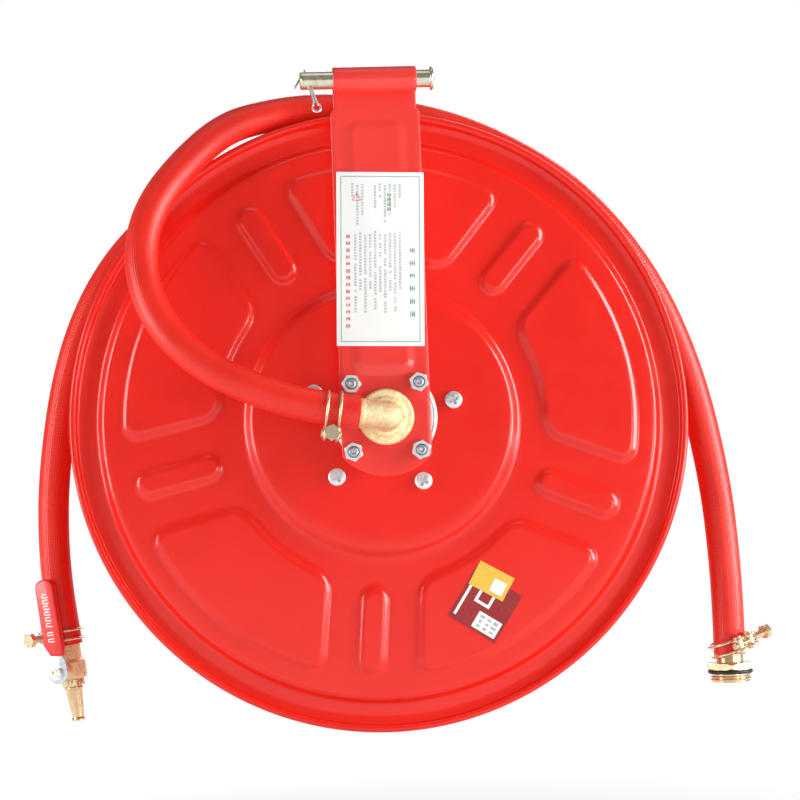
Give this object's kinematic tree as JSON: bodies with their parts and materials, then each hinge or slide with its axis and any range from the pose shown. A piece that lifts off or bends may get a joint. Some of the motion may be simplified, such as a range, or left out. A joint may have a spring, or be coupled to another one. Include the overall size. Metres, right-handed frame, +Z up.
{
  "type": "fire hose reel",
  "caption": "Fire hose reel whose drum of rubber hose hangs on a swing arm from a hinge pin, with a shut-off nozzle and an inlet hose.",
  "frame": {"origin": "centre of the hinge pin, midway along the eye of the swing arm", "axes": "+X along the hinge pin towards its head, +Y from the arm into the drum along the drum's axis, +Z up"},
  "size_m": [0.6206, 0.276, 0.5256],
  "materials": {
    "red_paint": "gloss",
    "hose_rubber": "satin",
    "label_card": "satin",
    "zinc_steel": "satin",
    "wire_zinc": "satin",
    "yellow_zinc": "satin",
    "cast_brass": "rough cast",
    "turned_brass": "turned",
    "chrome_ball": "polished",
    "bare_steel": "machined",
    "cast_aluminium": "as cast",
    "bush_plastic": "natural",
    "seal_rubber": "matte",
    "grip_vinyl": "satin"
  },
  "bodies": {
    "root": {"hinge_pin": "zinc_steel", "split_pin": "wire_zinc"},
    "arm": {"swing_arm": "red_paint", "label_plate": "label_card", "arm_studs": "zinc_steel", "arm_nuts": "zinc_steel", "inlet_elbow": "cast_brass", "elbow_seal": "seal_rubber", "spindle_flange": "bare_steel", "spindle": "bare_steel", "thrust_washer": "zinc_steel", "retaining_ring": "zinc_steel", "inlet_hose": "hose_rubber", "inlet_clamp": "yellow_zinc", "inlet_clamp_bolt": "yellow_zinc", "inlet_coupling": "turned_brass", "coupling_seal": "seal_rubber", "coupling_clamp": "yellow_zinc", "coupling_clamp_bolt": "yellow_zinc", "tail_hose": "hose_rubber", "tail_clamp": "yellow_zinc", "tail_clamp_bolt": "yellow_zinc", "valve_body": "turned_brass", "valve_seats": "bush_plastic", "gland_nut": "turned_brass", "nozzle": "turned_brass"},
    "drum": {"front_disc": "red_paint", "rear_disc": "red_paint", "core_barrel": "red_paint", "hub": "cast_aluminium", "front_bush": "bush_plastic", "rear_bush": "bush_plastic", "spindle_seals": "seal_rubber", "tie_bolts": "zinc_steel", "tie_nuts": "zinc_steel", "rear_plate": "zinc_steel", "rear_cap": "red_paint", "outlet_elbow": "cast_brass", "outlet_clamp": "yellow_zinc", "wound_hose": "hose_rubber"},
    "lever": {"valve_lever": "zinc_steel", "lever_grip": "grip_vinyl", "valve_stem": "turned_brass", "lever_nut": "zinc_steel", "valve_ball": "chrome_ball"}
  },
  "joints": [
    {"name": "arm_swing", "type": "hinge", "parent": "root", "child": "arm", "pos_m": [0, 0, 0], "axis": [-1, 0, 0], "range_deg": [0, 170]},
    {"name": "drum_spin", "type": "hinge", "parent": "arm", "child": "drum", "pos_m": [0, 0.1, -0.265], "axis": [0, 1, 0], "continuous": true},
    {"name": "valve_turn", "type": "hinge", "parent": "arm", "child": "lever", "pos_m": [-0.26444, 0.185, -0.46284], "axis": [0.4351, 0.8988, 0.0534], "range_deg": [0, 90]}
  ]
}
